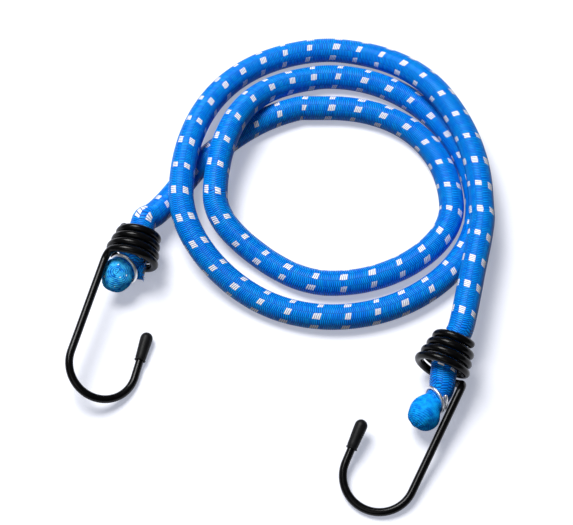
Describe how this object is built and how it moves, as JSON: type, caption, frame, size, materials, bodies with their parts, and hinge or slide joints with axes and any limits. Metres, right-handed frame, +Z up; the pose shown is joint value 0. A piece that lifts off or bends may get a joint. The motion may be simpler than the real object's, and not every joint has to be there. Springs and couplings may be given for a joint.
{
  "type": "bungee cord",
  "caption": "Coiled elastic cord with a braided, flecked sheath; each folded, crimped end carries a swivelling coated wire hook with a soft tip, for lashing down loads",
  "frame": {"origin": "Middle of the plan box, on the surface that the coiled cord lies on", "axes": "+Z up from that surface, +Y towards the back of the coil and away from the hooks, +X to the right with the hooks nearest"},
  "size_m": [0.1669, 0.2132, 0.0227],
  "materials": {
    "sheath": "bright blue woven braid with small white flecks in rings",
    "core": "bundle of natural latex strands, hidden inside the sheath",
    "coated_wire": "black plastic coating over steel wire, semi-gloss",
    "vinyl": "matte black dipped vinyl",
    "galvanised_wire": "bright galvanised steel wire"
  },
  "bodies": {
    "cord": {"coil_sheath": "sheath", "coil_rubber_core": "core", "left_tail_sheath": "sheath", "left_tail_rubber_core": "core", "right_tail_sheath": "sheath", "right_tail_rubber_core": "core"},
    "left_end": {"left_folded_end_sheath": "sheath", "left_folded_end_rubber_core": "core", "left_crimp_ring": "galvanised_wire"},
    "left_hook": {"left_wire_hook": "coated_wire", "left_tip_cap": "vinyl"},
    "right_end": {"right_folded_end_sheath": "sheath", "right_folded_end_rubber_core": "core", "right_crimp_ring": "galvanised_wire"},
    "right_hook": {"right_wire_hook": "coated_wire", "right_tip_cap": "vinyl"}
  },
  "joints": [
    {"name": "left_stretch", "type": "slide", "parent": "cord", "child": "left_end", "axis": [-0.2689, -0.9632, 0], "range_m": [0, 0.025], "stiffness_N_per_m": 300, "deforming": ["left_tail_sheath", "left_tail_rubber_core"]},
    {"name": "left_hook_swivel", "type": "hinge", "parent": "left_end", "child": "left_hook", "pos_m": [-0.061, -0.00515, 0.01145], "axis": [-0.2687, -0.9622, -0.0445], "continuous": true},
    {"name": "right_stretch", "type": "slide", "parent": "cord", "child": "right_end", "axis": [-0.4509, -0.8926, 0], "range_m": [0, 0.025], "stiffness_N_per_m": 300, "deforming": ["right_tail_sheath", "right_tail_rubber_core"]},
    {"name": "right_hook_swivel", "type": "hinge", "parent": "right_end", "child": "right_hook", "pos_m": [0.05895, -0.0528, 0.01145], "axis": [-0.4447, -0.8803, -0.1653], "continuous": true}
  ]
}
